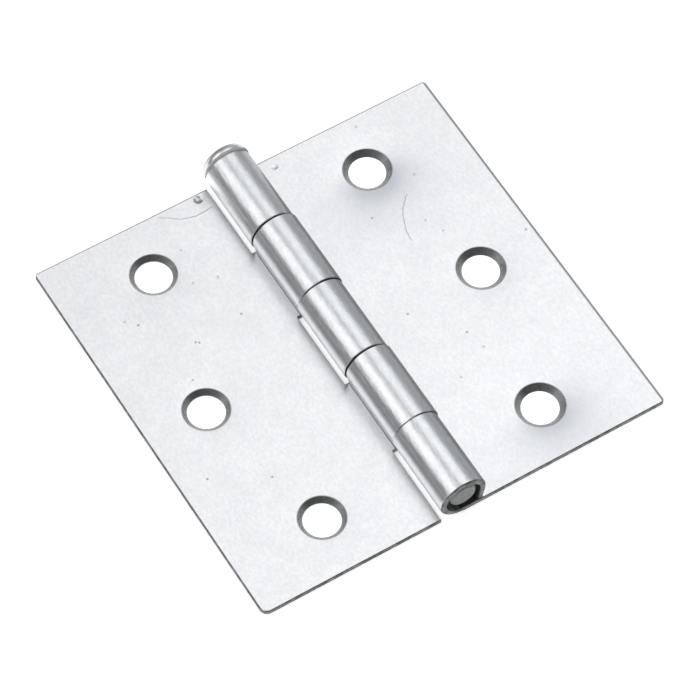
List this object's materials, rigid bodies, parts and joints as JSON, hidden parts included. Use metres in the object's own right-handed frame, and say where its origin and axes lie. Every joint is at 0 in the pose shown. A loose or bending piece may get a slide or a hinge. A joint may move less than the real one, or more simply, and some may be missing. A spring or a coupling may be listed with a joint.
{
  "type": "butt hinge",
  "caption": "Pressed steel butt hinge with rolled knuckles on a headed pin, and countersunk screw holes in flat leaves.",
  "frame": {"origin": "middle of the hinge's footprint as it lies open and flat, on the plane of the leaves' back faces", "axes": "+X to the outer edge of the three-knuckle leaf, +Y along the barrel towards the pin's head, +Z from the back faces to the barrel side"},
  "size_m": [0.0784, 0.0782, 0.0095],
  "materials": {
    "plated_sheet": "bright zinc plate over smooth pressed steel sheet",
    "plated_pin": "bright zinc plate over turned steel"
  },
  "bodies": {
    "three_knuckle_side": {"three_knuckle_leaf": "plated_sheet", "hinge_pin": "plated_pin"},
    "two_knuckle_side": {"two_knuckle_leaf": "plated_sheet"}
  },
  "joints": [
    {"name": "leaf_swing", "type": "hinge", "parent": "three_knuckle_side", "child": "two_knuckle_side", "pos_m": [-0.0006, -0.001, 0.0044], "axis": [0, 1, 0], "range_deg": [-90, 189]}
  ]
}
